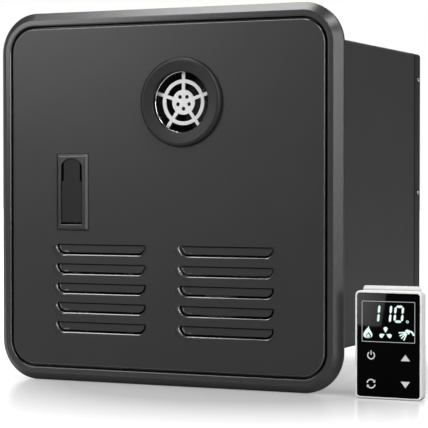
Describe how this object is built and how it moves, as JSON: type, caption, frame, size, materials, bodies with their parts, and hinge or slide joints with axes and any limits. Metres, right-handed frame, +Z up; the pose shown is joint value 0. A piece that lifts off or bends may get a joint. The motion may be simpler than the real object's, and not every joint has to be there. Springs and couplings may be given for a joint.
{
  "type": "tankless water heater",
  "caption": "Black built-in tankless water heater with a flush louvered service door, a round guarded exhaust, a paddle latch and a small wall controller.",
  "frame": {"origin": "middle of the door frame's back, in the plane of the wall, between the wall screws", "axes": "+X to the viewer's right when facing the door, +Y back into the case, +Z up"},
  "size_m": [0.4648, 0.375, 0.381],
  "materials": {
    "frame_black": "fine satin grain",
    "door_black": "satin powder coat",
    "case_black": "smooth satin paint",
    "latch_black": "satin moulded plastic",
    "gasket_rubber": "matte foam rubber",
    "stainless": "brushed stainless steel",
    "zinc_steel": "zinc-plated steel",
    "copper": "drawn copper",
    "brass": "machined brass",
    "alloy": "die-cast alloy",
    "fan_black": "moulded plastic",
    "coil_black": "encapsulated coil",
    "ceramic_white": "glazed insulator",
    "sensor_grey": "moulded plastic",
    "rotor_white": "moulded plastic",
    "rocker_black": "moulded plastic",
    "board_green": "solder-masked laminate",
    "controller_white": "satin white plastic",
    "controller_glass": "black glass",
    "display_dark": "lit display"
  },
  "bodies": {
    "heater": {"door_frame": "frame_black", "wall_gasket": "gasket_rubber", "hinge_pins": "zinc_steel", "frame_screws": "zinc_steel", "flue_tube": "stainless", "exhaust_guard": "stainless", "case_wrap": "case_black", "rear_cover": "case_black", "cover_screws": "zinc_steel", "cable_grommet": "gasket_rubber", "support_rails": "zinc_steel", "blower_housing": "fan_black", "blower_motor": "zinc_steel", "burner_tray": "stainless", "burner_blades": "stainless", "gas_valve": "alloy", "gas_manifold": "alloy", "solenoid_coil": "coil_black", "gas_pipe": "zinc_steel", "gas_inlet": "brass", "combustion_chamber": "stainless", "electrodes": "ceramic_white", "spark_module": "coil_black", "exchanger_shell": "copper", "exchanger_fins": "copper", "water_coil": "copper", "inlet_pipe": "copper", "outlet_pipe": "copper", "cold_pipe": "copper", "flow_sensor": "sensor_grey", "drain_plug": "brass", "cold_inlet": "brass", "hot_outlet": "brass", "flue_hood": "stainless", "overheat_switches": "zinc_steel", "control_box": "sensor_grey", "control_board": "board_green", "wall_bracket": "controller_white"},
    "door": {"door_panel": "door_black", "door_gasket": "gasket_rubber", "exhaust_bezel": "latch_black", "latch_housing": "latch_black", "latch_pin": "zinc_steel", "bolt_guides": "zinc_steel"},
    "lever": {"latch_lever": "latch_black"},
    "bolt": {"latch_bolt": "zinc_steel"},
    "blower_rotor": {"blower_impeller": "fan_black", "blower_shaft": "zinc_steel"},
    "flow_turbine": {"flow_rotor": "rotor_white"},
    "plunger": {"solenoid_plunger": "zinc_steel"},
    "rocker": {"power_rocker": "rocker_black"},
    "controller": {"controller_shell": "controller_white", "controller_glass": "controller_glass", "controller_display": "display_dark", "controller_board": "board_green", "controller_back": "controller_white", "controller_socket": "coil_black"}
  },
  "joints": [
    {"name": "door_swing", "type": "hinge", "parent": "heater", "child": "door", "pos_m": [0.1691, -0.0082, 0], "axis": [0, 0, 1], "range_deg": [0, 80]},
    {"name": "latch_press", "type": "hinge", "parent": "door", "child": "lever", "pos_m": [-0.1029, -0.0094, 0.01545], "axis": [-1, 0, 0], "range_deg": [0, 25]},
    {"name": "bolt_slide", "type": "slide", "parent": "door", "child": "bolt", "axis": [1, 0, 0], "range_m": [0, 0.004], "stiffness_N_per_m": 600},
    {"name": "blower_spin", "type": "hinge", "parent": "heater", "child": "blower_rotor", "pos_m": [0.02, 0.1425, -0.1175], "axis": [0, 1, 0], "continuous": true},
    {"name": "flow_rotor_spin", "type": "hinge", "parent": "heater", "child": "flow_turbine", "pos_m": [0.1385, 0.14, -0.107], "axis": [0, 1, 0], "continuous": true},
    {"name": "gas_plunger", "type": "slide", "parent": "heater", "child": "plunger", "axis": [0, 1, 0], "range_m": [0, 0.0025], "stiffness_N_per_m": 150},
    {"name": "power_switch", "type": "hinge", "parent": "heater", "child": "rocker", "pos_m": [-0.1255, 0.022, -0.0385], "axis": [-1, 0, 0], "range_deg": [0, 22]},
    {"name": "controller_lift", "type": "slide", "parent": "heater", "child": "controller", "axis": [0, 0, 1], "range_m": [0, 0.004]}
  ],
  "couplings": [
    {"joint": "latch_press", "follows": "bolt_slide", "rad_per_m": 109.08}
  ]
}
